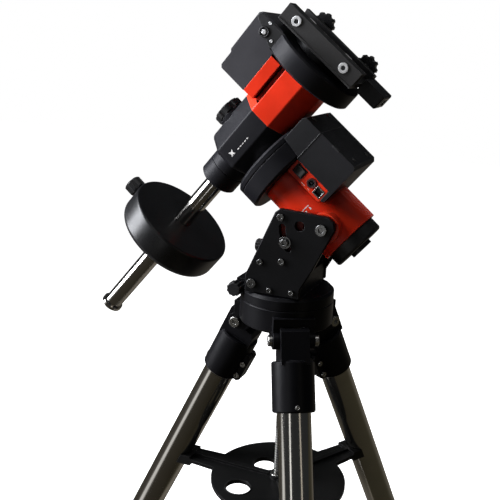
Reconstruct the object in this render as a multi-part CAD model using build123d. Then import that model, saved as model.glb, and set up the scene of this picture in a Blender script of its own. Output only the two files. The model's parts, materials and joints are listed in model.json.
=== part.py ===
from build123d import *
import os
from math import atan2, cos, degrees, hypot, pi, radians, sin

# German equatorial mount on a steel tripod, in millimetres.
# +X is south (the polar-finder end), +Y is east, +Z is up, and the origin is on the floor
# under the azimuth axis.  Heights on the tripod head are measured from SEAM, where the
# mount's base sits on the tripod.

# --- driving dimensions ---------------------------------------------------------------
SEAM = 700.0                 # floor to the top of the tripod head
LATITUDE = 40.0              # tilt of the polar axis above the horizon
CROSSING_X = -43.2           # where the polar and declination axes cross
CROSSING_HEIGHT = 160.9      # ... above the seam
ALTITUDE_PIVOT = 117.3       # from the crossing, along the polar axis, to the altitude pivot

FIT = 0.05                   # radial clearance of a running fit
GAP = 0.3                    # gap between faces that pass each other

LEG_ANGLES = (-60, 60, 180)  # about +Z, from +X
LEG_SPREAD = 25.5            # from vertical
LEG_RADIUS = 17.0            # upper tube
LEG_WALL = 1.2
LEG_REFERENCE = (60.0, -68.7)  # a point on the leg's axis: radius, height from the seam
HINGE = (6.0, 40.0)          # hinge in the leg's own frame: outward, up the leg
INNER_LEG_RADIUS = 14.6      # lower tube
LEG_JOINT = -410.0           # end of the upper tube, along the leg
LEG_LENGTH = 692.0           # from the reference point to the end of the lower tube

TRIPOD_RADIUS = 48.4
TRIPOD_THICKNESS = 25.0
TRAY_HEIGHT = -213.5
TRAY_RADIUS = 74.8

PLATE_INNER = 37.5           # inner faces of the fork plates, from the middle
PLATE_THICKNESS = 5.0
SLOT_RADIUS = 39.6           # altitude slot, about the altitude pivot
SLOT_HALF_WIDTH = 3.4
SLOT_REST = 205.4            # where its screw stands at LATITUDE, degrees from +X
ALTITUDE_DOWN = 10.0         # travel below and above LATITUDE
ALTITUDE_UP = 22.0

POLAR_RING_RADIUS = 46.8     # housing of the polar worm wheel
POLAR_TUBE_RADIUS = 31.2     # red polar housing
POLAR_BORE = 24.0
SPINDLE_RADIUS = 16.0
DEC_RING_RADIUS = 48.1       # housing of the declination worm wheel
WHEEL_RADIUS = 37.0
WHEEL_TEETH = 96
WORM_RADIUS = 6.0
MESH = WHEEL_RADIUS + WORM_RADIUS + 0.1
PULLEY_RADIUS = 5.2
MOTOR_SIZE = 28.0
WALL = 2.0                   # thickness of the moulded covers

SHAFT_RADIUS = 10.0          # counterweight shaft, for 20 mm bores
SHAFT_END = -265.0
WEIGHT_RADIUS = 57.8
WEIGHT_TOP = -124.2
WEIGHT_THICKNESS = 31.6
WEIGHT_BOSS = 1.6            # how far the clamp's boss stands out of the rim

SADDLE_NORTH = -47.9
SADDLE_SOUTH = 44.7
SADDLE_HALF_WIDTH = 32.3
SADDLE_BOTTOM = 108.6
SADDLE_TOP = 125.6
DOVETAIL_HALF_WIDTH = 22.5   # half of a 44 mm dovetail bar, and its play
SADDLE_BOLTS = (-32.1, 28.3)  # places of the clamp bolts along the saddle
SADDLE_BOLT_HEIGHT = 118.0

# --- frames ---------------------------------------------------------------------------
# The head is drawn with the polar axis along X and the declination axis along Z, and is
# then tilted to LATITUDE about the point where they cross.
HEAD = Pos(CROSSING_X, 0, SEAM + CROSSING_HEIGHT) * Rot(0, LATITUDE, 0)
ON_SEAM = Pos(0, 0, SEAM)
PIVOT_X = CROSSING_X + ALTITUDE_PIVOT * cos(radians(LATITUDE))
PIVOT_HEIGHT = CROSSING_HEIGHT - ALTITUDE_PIVOT * sin(radians(LATITUDE))
FROM_START = (Align.CENTER, Align.CENTER, Align.MIN)


def leg_frame(angle):
    """The frame of one leg: X outward from it, Z up along its axis."""
    radius, height = LEG_REFERENCE
    return Rot(0, 0, angle) * Pos(radius, 0, SEAM + height) * Rot(0, -LEG_SPREAD, 0)


# --- shapes used by many parts --------------------------------------------------------
def rod_x(radius, start, end, y=0, z=0):
    return Pos(start, y, z) * Rot(0, 90, 0) * Cylinder(radius, end - start, align=FROM_START)


def rod_y(radius, start, end, x=0, z=0):
    return Pos(x, start, z) * Rot(-90, 0, 0) * Cylinder(radius, end - start, align=FROM_START)


def rod_z(radius, start, end, x=0, y=0):
    return Pos(x, y, start) * Cylinder(radius, end - start, align=FROM_START)


def block(x, y, z):
    """A box between the two values of each of x, y and z."""
    size = [high - low for low, high in (x, y, z)]
    middle = [(high + low) / 2 for low, high in (x, y, z)]
    return Pos(*middle) * Box(*size)


def side_prism(points, y):
    """An outline of (x, z) points, extruded between the two values of y."""
    outline = Plane.XZ * make_face(Polyline(*points, close=True))
    return Pos(0, y[1], 0) * extrude(outline, y[1] - y[0])


def top_prism(points, z):
    """An outline of (x, y) points, extruded between the two values of z."""
    return Pos(0, 0, z[0]) * extrude(make_face(Polyline(*points, close=True)), z[1] - z[0])


def fluted(radius, height, lobes, depth=0.16):
    """A fluted hand knob along Z, starting at 0."""
    body = rod_z(radius, 0, height)
    body = chamfer(body.edges(), height * 0.1)
    flute = radius * 2.2 / lobes
    centre = radius * (1 - depth) + flute
    for n in range(lobes):
        angle = 2 * pi * n / lobes
        body -= rod_z(flute, -1, height + 1, centre * cos(angle), centre * sin(angle))
    return body


def socket_screw(head_radius, head_height, shank_radius, shank_length):
    """A cap screw along Z: its head stands above 0 and its shank runs below."""
    head = chamfer(rod_z(head_radius, 0, head_height).edges(), head_height * 0.12)
    hexagon = extrude(RegularPolygon(head_radius * 0.5, 6), head_height)
    return head + rod_z(shank_radius, -shank_length, 0.1) - Pos(0, 0, head_height * 0.45) * hexagon


def ring(outer, inner, start, end, make):
    return make(outer, start, end) - make(inner, start - 1, end + 1)


# --- tripod ---------------------------------------------------------------------------
def hinge_point():
    """Radius and height from the seam of a leg's hinge."""
    tilt = radians(LEG_SPREAD)
    radius = LEG_REFERENCE[0] + HINGE[0] * cos(tilt) - HINGE[1] * sin(tilt)
    height = LEG_REFERENCE[1] + HINGE[0] * sin(tilt) + HINGE[1] * cos(tilt)
    return radius, height


TONGUE_HALF = 14.2           # half width of a leg's tongue between the ears
TONGUE_RADIUS = 13.0
EAR_OUTER = 20.8
HINGE_BOLT_RADIUS = 4.0
SPIGOT_RADIUS = 15.0         # spigot of the mount's base in the tripod head
PEG_X = -44.5                # peg that the azimuth screws push against
PEG_RADIUS = 3.5
ROD_RADIUS = 5.0
ROD_END = -246.0
HEAD_BOSS_RADIUS = 17.0
HEAD_BOSS_END = -46.0


def tripod_head():
    radius, height = hinge_point()
    body = rod_z(TRIPOD_RADIUS, -TRIPOD_THICKNESS, 0)
    body = chamfer(body.edges(), 1.2)
    ear = [(28, -7), (50.5, -7), (50.5, height), (radius, height - 9), (38, height - 9), (28, height)]
    for angle in LEG_ANGLES:
        lug = side_prism(ear, (-EAR_OUTER, EAR_OUTER))
        lug += rod_y(9, -EAR_OUTER, EAR_OUTER, radius, height)
        body += Rot(0, 0, angle) * lug
    for angle in LEG_ANGLES:
        cheek = TONGUE_HALF + GAP
        room = side_prism([(33, -15), (70, -15), (70, -60), (20, -60), (20, -34)], (-cheek, cheek))
        body -= Rot(0, 0, angle) * room
        body -= Rot(0, 0, angle) * rod_y(HINGE_BOLT_RADIUS, -30, 30, radius, height)
    body += rod_z(HEAD_BOSS_RADIUS, HEAD_BOSS_END, -TRIPOD_THICKNESS + 1)
    body -= rod_z(SPIGOT_RADIUS + FIT, -12, 1)
    body -= rod_z(ROD_RADIUS, HEAD_BOSS_END - 1, 0)
    return body + rod_z(PEG_RADIUS, -1, 13, PEG_X)


def leg_hinge_bolts():
    radius, height = hinge_point()
    bolts = []
    for angle in LEG_ANGLES:
        pin = rod_y(HINGE_BOLT_RADIUS, -EAR_OUTER, EAR_OUTER, radius, height)
        for side in (-1, 1):
            turn = Rot(-90 * side, 0, 0)
            head = socket_screw(5.8, 4.5, HINGE_BOLT_RADIUS, 2)
            pin += Pos(radius, side * EAR_OUTER, height) * turn * head
        bolts.append(Rot(0, 0, angle) * pin)
    return Compound(bolts)


def centre_rod():
    rod = rod_z(ROD_RADIUS, ROD_END, -13)
    return chamfer(rod.edges(), 0.8)


SOCKET_RADIUS = 21.5
SOCKET_TOP = 20.0
SOCKET_BOTTOM = -30.0
TUBE_TOP = 15.0


def leg_casting():
    x, z = HINGE
    socket = rod_z(SOCKET_RADIUS, SOCKET_BOTTOM, SOCKET_TOP)
    socket = chamfer(socket.edges(), 1.5)
    tongue = block((x - TONGUE_RADIUS, x + TONGUE_RADIUS), (-TONGUE_HALF, TONGUE_HALF),
                   (SOCKET_TOP - 4, z + 11))
    tongue = chamfer(tongue.edges().filter_by(Axis.Y).group_by(Axis.Z)[-1], 3)
    hood = block((-18, 19), (-TONGUE_HALF, TONGUE_HALF), (SOCKET_TOP - 4, 33))
    hood = chamfer(hood.edges().filter_by(Axis.Y).group_by(Axis.Z)[-1], 4)
    lug = block((-26, -14), (-9, 9), (SOCKET_BOTTOM + 2, 6))
    lug = chamfer(lug.edges().filter_by(Axis.Y), 3)
    body = socket + tongue + hood + lug
    body -= rod_z(LEG_RADIUS, SOCKET_BOTTOM - 1, TUBE_TOP)
    body -= block((-40, -16), (-1, 1), (SOCKET_BOTTOM - 1, 8))
    return body - rod_y(HINGE_BOLT_RADIUS + FIT, -30, 30, x, z)


def leg_tube_upper():
    return ring(LEG_RADIUS, LEG_RADIUS - LEG_WALL, LEG_JOINT, TUBE_TOP, rod_z)


COLLAR_LENGTH = 52.0
COLLAR_END = LEG_JOINT - 28.0
LOCK_HEIGHT = LEG_JOINT - 14.0


def leg_collar():
    top = COLLAR_END + COLLAR_LENGTH
    body = rod_z(21.0, COLLAR_END, top)
    body = chamfer(body.edges(), 1.5)
    body += rod_x(8.5, 15, 27, 0, LOCK_HEIGHT)
    body -= rod_z(LEG_RADIUS, LEG_JOINT, top + 1)
    body -= rod_z(INNER_LEG_RADIUS + FIT, COLLAR_END - 1, top)
    return body - rod_x(4 + FIT, 10, 30, 0, LOCK_HEIGHT)


def leg_lock_knob():
    grip = Pos(27 + GAP, 0, LOCK_HEIGHT) * Rot(0, 90, 0) * fluted(13, 12, 8)
    return grip + rod_x(4, INNER_LEG_RADIUS + 0.4, 30, 0, LOCK_HEIGHT)


def leg_tube_lower():
    return ring(INNER_LEG_RADIUS, INNER_LEG_RADIUS - LEG_WALL, -LEG_LENGTH, LEG_JOINT + 120, rod_z)


def leg_foot(angle):
    """A rubber foot round the end of the lower tube, cut flat at the floor."""
    body = rod_z(19, -LEG_LENGTH - 40, -LEG_LENGTH + 34)
    body = chamfer(body.edges().sort_by(Axis.Z)[-1], 3)
    body -= rod_z(INNER_LEG_RADIUS, -LEG_LENGTH, -LEG_LENGTH + 40)
    body = leg_frame(angle) * body
    floor = block((-900, 900), (-900, 900), (-200, 0))
    return body - floor


def tray_arm_length():
    """Where an arm's fork meets the leg tube, at the tray's height."""
    drop = LEG_REFERENCE[1] - TRAY_HEIGHT
    tilt = radians(LEG_SPREAD)
    return LEG_REFERENCE[0] + drop * sin(tilt) / cos(tilt)


TRAY_THICKNESS = 4.0
EYEPIECE_RADIUS = 13.5
EYEPIECE_HOLES = ((-31, -39), (-22, 17))


def spreader_tray():
    body = rod_z(TRAY_RADIUS, 0, TRAY_THICKNESS)
    reach = tray_arm_length()
    for angle in LEG_ANGLES:
        arm = top_prism([(20, -19), (reach - 8, -13), (reach - 8, 13), (20, 19)], (0, TRAY_THICKNESS))
        ridge = block((10, reach - 10), (-3, 3), (TRAY_THICKNESS - 1, TRAY_THICKNESS + 3))
        pad = block((reach - 25, reach - 4), (-14, 14), (-4, TRAY_THICKNESS + 3))
        body += Rot(0, 0, angle) * (arm + ridge + pad)
    body += rod_z(9, -4, TRAY_THICKNESS + 4)
    for x, y in EYEPIECE_HOLES:
        body -= rod_z(EYEPIECE_RADIUS, -5, TRAY_THICKNESS + 5, x, y)
    body = Pos(0, 0, TRAY_HEIGHT - TRAY_THICKNESS) * body
    for angle in LEG_ANGLES:
        tube = Pos(0, 0, -SEAM) * leg_frame(angle) * rod_z(LEG_RADIUS + GAP, -300, 0)
        body -= tube
    return body - rod_z(ROD_RADIUS + FIT, TRAY_HEIGHT - 30, TRAY_HEIGHT + 30)


def tray_knob():
    top = TRAY_HEIGHT - TRAY_THICKNESS - 4 - GAP
    grip = Pos(0, 0, top - 14) * fluted(21, 14, 6)
    return grip - rod_z(ROD_RADIUS + FIT, top - 20, top + 1)


# --- base and fork --------------------------------------------------------------------
BASE_TOP = 12.0
BRIDGE_TOP = 32.0
KNOB_HEIGHT = 10.5
LUG_HALF = 15.0              # half width of the lug that holds the azimuth screws
AZIMUTH_SCREW_RADIUS = 3.0
ALTITUDE_SCREW_HEIGHT = 50.0


def azimuth_base():
    body = rod_z(TRIPOD_RADIUS, GAP, BASE_TOP)
    body = chamfer(body.edges().sort_by(Axis.Z)[-1], 2.5)
    body += rod_z(SPIGOT_RADIUS, -11, GAP + 1)
    body += block((-28, 27), (-PLATE_INNER, PLATE_INNER), (BASE_TOP - 1, BRIDGE_TOP))
    body += block((-16, -8), (-PLATE_INNER, PLATE_INNER), (BRIDGE_TOP - 1, ALTITUDE_SCREW_HEIGHT + 7))
    body += block((-51, -20), (-LUG_HALF, LUG_HALF), (GAP, KNOB_HEIGHT + 5.5))
    body -= block((PEG_X - 4.5, PEG_X + 4.5), (-9, 9), (-1, KNOB_HEIGHT + 3.5))
    body -= rod_y(AZIMUTH_SCREW_RADIUS + FIT, -40, 40, PEG_X, KNOB_HEIGHT)
    for side in (-1, 1):
        body -= rod_y(8.6, *sorted((side * 22, side * 50)), PEG_X, KNOB_HEIGHT)
    return body - rod_x(3 + FIT, -40, -5, 0, ALTITUDE_SCREW_HEIGHT)


def azimuth_knobs():
    knobs = []
    for side in (-1, 1):
        knob = fluted(7.8, 11, 10) + rod_z(AZIMUTH_SCREW_RADIUS, -18.8, 1)
        knobs.append(Pos(PEG_X, side * 27, KNOB_HEIGHT) * Rot(-90 * side, 0, 0) * knob)
    return Compound(knobs)


def altitude_knob():
    grip = Pos(-36, 0, ALTITUDE_SCREW_HEIGHT) * Rot(0, 90, 0) * fluted(7, 11, 10)
    return grip + rod_x(3, -26, -6, 0, ALTITUDE_SCREW_HEIGHT)


PIVOT_BOLT_RADIUS = 5.0
# places of the screws on each fork plate: x, height, head radius
PLATE_SCREWS = (
    (8.4, 49.0, 3.4),
    (-14.0, 45.5, 3.0),
    (-22.3, 22.5, 4.8),
    (-3.0, 18.0, 2.8),
    (20.0, 19.0, 2.8),
    (5.5, 93.0, 3.6),
)


def fork_plate(west):
    """One side plate of the fork."""
    outline = [(-30, 13), (-30, 30), (-1, 97), (4, 101), (52, 98), (58, 93), (59, 86), (40, 45),
               (28, 23), (28, 13)]
    inner, outer = PLATE_INNER, PLATE_INNER + PLATE_THICKNESS
    plate = side_prism(outline, (-outer, -inner))
    plate = chamfer(plate.faces().sort_by(Axis.Y)[0].edges(), 0.8)
    start = radians(SLOT_REST - ALTITUDE_UP)
    sweep = radians(ALTITUDE_UP + ALTITUDE_DOWN)
    steps = 12
    for n in range(steps + 1):
        angle = start + sweep * n / steps
        x = PIVOT_X + SLOT_RADIUS * cos(angle)
        z = PIVOT_HEIGHT + SLOT_RADIUS * sin(angle)
        plate -= rod_y(SLOT_HALF_WIDTH, -50, -30, x, z)
    plate -= rod_y(PIVOT_BOLT_RADIUS, -50, -30, PIVOT_X, PIVOT_HEIGHT)
    plate -= rod_y(5, -50, -30, PIVOT_X - 22, PIVOT_HEIGHT + 0.7)
    for x, z, _ in PLATE_SCREWS:
        plate -= rod_y(2.5, -50, -30, x, z)
    return plate if west else mirror(plate, Plane.XZ)


def fork_plates():
    return Compound([fork_plate(True), fork_plate(False)])


def fork_screws():
    screws = []
    for x, z, head in PLATE_SCREWS:
        screw = socket_screw(head, 2.6, 2.5, PLATE_THICKNESS)
        for side in (-1, 1):
            turn = Rot(-90 * side, 0, 0)
            place = Pos(x, side * (PLATE_INNER + PLATE_THICKNESS), z)
            screws.append(place * turn * screw)
    return Compound(screws)


def altitude_pivot_bolts():
    bolts = []
    for side in (-1, 1):
        head = socket_screw(5.6, 3.2, PIVOT_BOLT_RADIUS, 13)
        place = Pos(PIVOT_X, side * (PLATE_INNER + PLATE_THICKNESS), PIVOT_HEIGHT)
        bolts.append(place * Rot(-90 * side, 0, 0) * head)
    return Compound(bolts)


# --- polar (right ascension) head: drawn with the polar axis along X ------------------
RING_NORTH, RING_SOUTH = 27.5, 53.0
TUBE_SOUTH = 139.0
CAP_SOUTH = 152.3
CASE_SOUTH = 95.8
CASE_TOP = 29.0
CASE_BOTTOM = 13.5
CASE_HALF_WIDTH = 34.0
SWITCH_X, PORT_Z = 62.9, 22.0
JACK_X, SOCKET_X = 79.0, 89.5
TANG_RADIUS = 59.5           # end of the altitude tang, from the altitude pivot
TANG_ANGLE = 78.0            # its direction below the polar axis
CHEEK_INNER, CHEEK_OUTER = 20.0, 46.0  # radii about the altitude pivot


def slot_screw_place():
    """Where the altitude lock screws stand, in the head's frame: x and z."""
    angle = radians(SLOT_REST)
    dx, dz = SLOT_RADIUS * cos(angle), SLOT_RADIUS * sin(angle)
    tilt = radians(LATITUDE)
    return (
        ALTITUDE_PIVOT + dx * cos(tilt) - dz * sin(tilt),
        dx * sin(tilt) + dz * cos(tilt),
    )


def altitude_tang():
    """The lug that the altitude screw bears on, under the housing."""
    middle = radians(180 + TANG_ANGLE)
    points = []
    for radius, spread in ((20, -0.35), (TANG_RADIUS, -0.1), (TANG_RADIUS, 0.1), (20, 0.35)):
        angle = middle + spread
        points.append((ALTITUDE_PIVOT + radius * cos(angle), radius * sin(angle)))
    return side_prism(points, (-8, 8))


def slot_cheeks():
    """Arc-shaped blocks on both sides of the housing that close the fork's slots from inside."""
    start, end = (radians(SLOT_REST + LATITUDE + turn) for turn in (-36, 35))
    steps = 8
    points = []
    for radius, order in ((CHEEK_OUTER, range(steps + 1)), (CHEEK_INNER, range(steps, -1, -1))):
        for n in order:
            angle = start + (end - start) * n / steps
            points.append((ALTITUDE_PIVOT + radius * cos(angle), radius * sin(angle)))
    side = side_prism(points, (-PLATE_INNER + GAP, -31))
    return side + mirror(side, Plane.XZ)


def ra_housing():
    body = ring(POLAR_TUBE_RADIUS, POLAR_BORE, RING_SOUTH, TUBE_SOUTH, rod_x)
    boss = rod_y(15, -PLATE_INNER + GAP, PLATE_INNER - GAP, ALTITUDE_PIVOT)
    x, z = slot_screw_place()
    pads = rod_y(8, -PLATE_INNER + GAP, PLATE_INNER - GAP, x, z)
    width = (-CASE_HALF_WIDTH, CASE_HALF_WIDTH)
    case = block((RING_SOUTH + 0.5, CASE_SOUTH), width, (CASE_BOTTOM, CASE_TOP))
    case = fillet(case.edges().filter_by(Axis.Y), 2)
    body += boss + pads + case + altitude_tang() + slot_cheeks()
    body -= rod_x(POLAR_BORE, RING_SOUTH - 1, TUBE_SOUTH + 1)
    body -= rod_y(PIVOT_BOLT_RADIUS + FIT, -50, 50, ALTITUDE_PIVOT)
    body -= rod_y(3, -50, 50, x, z)
    for port in (block((SWITCH_X - 5.3, SWITCH_X + 5.3), (-40, -28), (PORT_Z - 4.3, PORT_Z + 4.3)),
                 rod_y(4, -40, -28, JACK_X, PORT_Z),
                 block((SOCKET_X - 4.5, SOCKET_X + 4.5), (-40, -28), (PORT_Z - 6, PORT_Z + 3))):
        body -= port
    return body


def altitude_lock_screws():
    x, z = slot_screw_place()
    screws = []
    for side in (-1, 1):
        screw = socket_screw(4.2, 3.4, 3, 16) + ring(6.0, 3, -1.2, 0, rod_z)
        place = Pos(x, side * (PLATE_INNER + PLATE_THICKNESS + 1.2 + FIT), z)
        screws.append(place * Rot(-90 * side, 0, 0) * screw)
    return Compound(screws)


def ra_ring_housing():
    body = rod_x(POLAR_RING_RADIUS, RING_NORTH, RING_SOUTH)
    body = chamfer(body.edges(), 2)
    groove = ring(POLAR_RING_RADIUS + 1, POLAR_RING_RADIUS - 1, RING_NORTH + 6, RING_NORTH + 7.2, rod_x)
    body -= groove
    body -= rod_x(27.5, RING_NORTH - 1, 32)
    body -= rod_x(WHEEL_RADIUS + 1, 31.5, 48)
    body -= rod_x(POLAR_BORE, 47, RING_SOUTH + 1)
    body -= block((32.5, 48), (-31, 31), (30, 60))
    return body - block((32.5, 60), (21, 31), (33, 60))


def ra_spindle():
    body = rod_x(SPINDLE_RADIUS, 27, 134)
    body += rod_x(26, 27, 30.5)
    body += worm_wheel_x(35, 47)
    return body - rod_x(11, 26, 135)


def worm_wheel(height):
    """A worm wheel about Z from 0, with straight teeth round its rim."""
    points = []
    for n in range(WHEEL_TEETH):
        for offset, radius in ((0.0, WHEEL_RADIUS - 0.9), (0.3, WHEEL_RADIUS - 0.9),
                               (0.5, WHEEL_RADIUS), (0.8, WHEEL_RADIUS)):
            angle = 2 * pi * (n + offset) / WHEEL_TEETH
            points.append((radius * cos(angle), radius * sin(angle)))
    return top_prism(points, (0, height))


def worm_wheel_x(start, end):
    return Pos(start, 0, 0) * Rot(0, 90, 0) * worm_wheel(end - start)


def worm_y(x, z):
    """A worm with its pulley, along Y."""
    body = rod_y(WORM_RADIUS, -13, 13, x, z)
    for n in range(8):
        y = -10.5 + 3 * n
        body -= rod_y(WORM_RADIUS + 1, y - 0.7, y + 0.7, x, z) - rod_y(WORM_RADIUS - 1, y - 1, y + 1, x, z)
    body += rod_y(3, -20, 30, x, z)
    return body + rod_y(PULLEY_RADIUS, 22, 29, x, z)


def stepper_motor(x, z):
    """A stepper motor along Y with its pulley."""
    half = MOTOR_SIZE / 2
    body = block((x - half, x + half), (-22, 12), (z - half, z + half))
    body = chamfer(body.edges().filter_by(Axis.Y), 2.5)
    body += rod_y(9, 12, 14, x, z)
    return body + rod_y(PULLEY_RADIUS, 14, 29, x, z)


def drive_belt(start, end):
    """A toothed belt in the XZ plane round pulleys at start and end."""
    (x1, z1), (x2, z2) = start, end
    length = hypot(x2 - x1, z2 - z1)
    angle = degrees(atan2(z2 - z1, x2 - x1))
    outer = SlotCenterToCenter(length, 2 * PULLEY_RADIUS + 2.6)
    inner = SlotCenterToCenter(length, 2 * PULLEY_RADIUS + 0.1)
    loop = extrude(outer - inner, 5)
    middle = Pos((x1 + x2) / 2, 28, (z1 + z2) / 2)
    return middle * Rot(0, -angle, 0) * Rot(90, 0, 0) * loop


RA_WORM = (40.7, MESH)
RA_MOTOR = (78.0, POLAR_TUBE_RADIUS + MOTOR_SIZE / 2 + 0.1)


def ra_motor_cover():
    """The moulded cover over the polar motor and worm: a shell open towards the housing."""
    outline = [(31.5, 34), (31.5, 60), (34, 63), (97, 63), (100, 60), (100, 19), (98.5, 17), (96, 17),
               (96, CASE_TOP), (54, CASE_TOP), (54, 31)]
    room = [(33.5, 20), (33.5, 61), (98, 61), (98, 20)]
    body = side_prism(outline, (-36, 36))
    body -= side_prism(room, (-34.2, 34.2))
    body -= rod_x(POLAR_RING_RADIUS + FIT, 20, RING_SOUTH + FIT)
    return body - rod_x(POLAR_TUBE_RADIUS + FIT, 20, 110)


def ra_bearings():
    races = []
    for start in (56, 122):
        race = ring(POLAR_BORE, SPINDLE_RADIUS + FIT, start, start + 10, rod_x)
        races.append(race)
    return Compound(races)


def power_switch():
    """A rocker that tips about a line across the panel."""
    profile = [(-5, -0.6), (0, 1.0), (5, -0.6), (5, 1.6), (0, 2.6), (-5, 1.6)]
    points = [(SWITCH_X + x, -CASE_HALF_WIDTH + 0.4 - y) for x, y in profile]
    return top_prism(points, (PORT_Z - 4, PORT_Z + 4))


def port_jacks():
    barrel = rod_y(4, -CASE_HALF_WIDTH - 0.6, -28, JACK_X, PORT_Z)
    barrel -= rod_y(2.6, -40, -30, JACK_X, PORT_Z)
    barrel += rod_y(0.8, -CASE_HALF_WIDTH, -29, JACK_X, PORT_Z)
    socket = block((SOCKET_X - 4.5, SOCKET_X + 4.5), (-CASE_HALF_WIDTH - 0.4, -28), (PORT_Z - 6, PORT_Z + 3))
    socket -= block((SOCKET_X - 3.4, SOCKET_X + 3.4), (-40, -30), (PORT_Z - 4.6, PORT_Z + 1.6))
    return Compound([barrel, socket])


def ra_rear_cap():
    body = rod_x(27.7, TUBE_SOUTH + 0.4, CAP_SOUTH)
    body = fillet(body.edges().sort_by(Axis.X)[-1], 3)
    body += rod_x(POLAR_BORE - 0.4, TUBE_SOUTH - 4, TUBE_SOUTH + 1)
    body += rod_x(11.6, CAP_SOUTH - 1, CAP_SOUTH + 3.7)
    return body - rod_x(17, TUBE_SOUTH - 10, TUBE_SOUTH + 9)


# --- declination head: drawn with its axis along Z ------------------------------------
DEC_NORTH, DEC_SOUTH = -30.0, 27.0
LOWER_BOTTOM, SPLIT, RING_BOTTOM, RING_TOP = -30.0, 28.6, 83.0, 102.0
END_BOTTOM = -62.0           # end of the housing round the counterweight shaft
SHAFT_START = -25.0
COVER_NORTH, COVER_SOUTH = -64.8, -30.1
DEC_BORE = 18.0


def dec_section(bottom, top):
    """The housing's eight-sided section, flat to the front, between two heights."""
    half = ((DEC_SOUTH, 13), (DEC_SOUTH - 16, 31.5), (-11.5, 31.5), (DEC_NORTH, 13))
    points = [(x, -y) for x, y in half] + [(x, y) for x, y in reversed(half)]
    body = top_prism(points, (bottom, top))
    return fillet(body.edges().filter_by(Axis.Z), 3.5)


def dec_lower_housing():
    body = dec_section(LOWER_BOTTOM, SPLIT)
    body = fillet(body.edges().group_by(Axis.Z)[0], 7)
    body += chamfer(rod_z(20.3, END_BOTTOM, LOWER_BOTTOM + 1).edges().sort_by(Axis.Z)[0], 2)
    body -= ring(23, 19.6, -43.6, -42.4, rod_z)
    body += rod_x(15, DEC_NORTH - 3, DEC_NORTH + 4)
    body -= rod_z(DEC_BORE, LOWER_BOTTOM + 8, SPLIT + 1)
    body -= rod_x(11, DEC_NORTH - 5, DEC_SOUTH + 1)
    return body - rod_z(SHAFT_RADIUS, -80, SHAFT_START + 1)


def dec_upper_housing():
    body = dec_section(SPLIT, RING_BOTTOM)
    body += block((-30, -18), (-33, 33), (37.4, 79.4))
    for side in (-1, 1):
        body -= block((-18, -11.5), sorted((side * 27, side * 40)), (37.4, 79.4))
    return body - rod_z(DEC_BORE, SPLIT - 1, RING_BOTTOM + 1)


def dec_ring_housing():
    body = rod_z(DEC_RING_RADIUS, RING_BOTTOM, RING_TOP)
    body = chamfer(body.edges(), 1.6)
    body -= rod_z(WHEEL_RADIUS + 1, RING_BOTTOM + 3, RING_TOP - 3)
    body -= rod_z(DEC_BORE, RING_BOTTOM - 1, RING_BOTTOM + 5)
    body -= rod_z(29, RING_TOP - 4, RING_TOP + 1)
    body -= block((-60, -31), (-31, 31), (RING_BOTTOM + 3, RING_TOP - 3))
    return body - block((-60, -33), (21, 31), (RING_BOTTOM - 1, RING_TOP - 3))


DEC_WORM = (-MESH, 92.5)
DEC_MOTOR = (-44.7, 56.0)


def dec_motor_cover():
    """The moulded cover over the declination motor and worm, open towards the housing."""
    outline = [(COVER_SOUTH, 37), (-60.5, 37), (-62.8, 39.5), (-62.8, 54.5), (COVER_NORTH, 57),
               (COVER_NORTH, 100), (-62.5, 102.8), (COVER_SOUTH, 102.8)]
    room = [(COVER_SOUTH + 1, 39), (-59, 39), (-59, 100.5), (COVER_SOUTH + 1, 100.5)]
    body = side_prism(outline, (-33, 33))
    body -= side_prism(room, (-31, 31))
    body -= rod_z(DEC_RING_RADIUS + FIT, RING_BOTTOM - FIT, 110)
    return body


def dec_spindle():
    body = rod_z(DEC_BORE - FIT, LOWER_BOTTOM + 9, RING_BOTTOM + 3.2)
    body -= rod_x(10, -30, 30)
    wheel = Pos(0, 0, RING_BOTTOM + 4) * worm_wheel(11)
    hub = rod_z(28.5, RING_BOTTOM + 14, RING_TOP + 1)
    flange = rod_z(31, RING_TOP + 0.6, SADDLE_BOTTOM)
    return body + rod_z(DEC_BORE - FIT, RING_BOTTOM, RING_TOP) + wheel + hub + flange


def counterweight_shaft():
    shaft = rod_z(SHAFT_RADIUS, SHAFT_END, SHAFT_START)
    shaft = chamfer(shaft.edges(), 0.8)
    return shaft - rod_z(4, SHAFT_END - 1, SHAFT_END + 14)


def shaft_end_cap():
    body = rod_z(12.2, SHAFT_END - 6, SHAFT_END - FIT)
    body = chamfer(body.edges(), 1)
    return body + rod_z(4 - FIT, SHAFT_END - 1, SHAFT_END + 12)


WEIGHT_MIDDLE = WEIGHT_TOP - WEIGHT_THICKNESS / 2


def counterweight():
    body = rod_z(WEIGHT_RADIUS, WEIGHT_TOP - WEIGHT_THICKNESS, WEIGHT_TOP)
    low, high = body.edges().filter_by(GeomType.CIRCLE).sort_by(Axis.Z)
    body = fillet(low, 7)
    body = fillet(body.edges().filter_by(GeomType.CIRCLE).sort_by(Axis.Z)[-1], 2.5)
    body += rod_x(7.5, -WEIGHT_RADIUS - WEIGHT_BOSS, -WEIGHT_RADIUS + 4, 0, WEIGHT_MIDDLE)
    body -= rod_x(4 + FIT, -70, 0, 0, WEIGHT_MIDDLE)
    return body - rod_z(SHAFT_RADIUS + FIT, -200, -100)


def counterweight_knob():
    grip_start = -WEIGHT_RADIUS - WEIGHT_BOSS - GAP
    grip = Pos(grip_start, 0, WEIGHT_MIDDLE) * Rot(0, -90, 0) * fluted(10, 12, 7)
    return grip + rod_x(4, grip_start - 2, -SHAFT_RADIUS - 0.3, 0, WEIGHT_MIDDLE)


def front_polar_cap():
    grip = Pos(DEC_NORTH - 3.1, 0, 0) * Rot(0, -90, 0) * fluted(15.6, 8, 8, 0.1)
    return grip + rod_x(11 - FIT, DEC_NORTH - 5, DEC_NORTH + 6)


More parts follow.
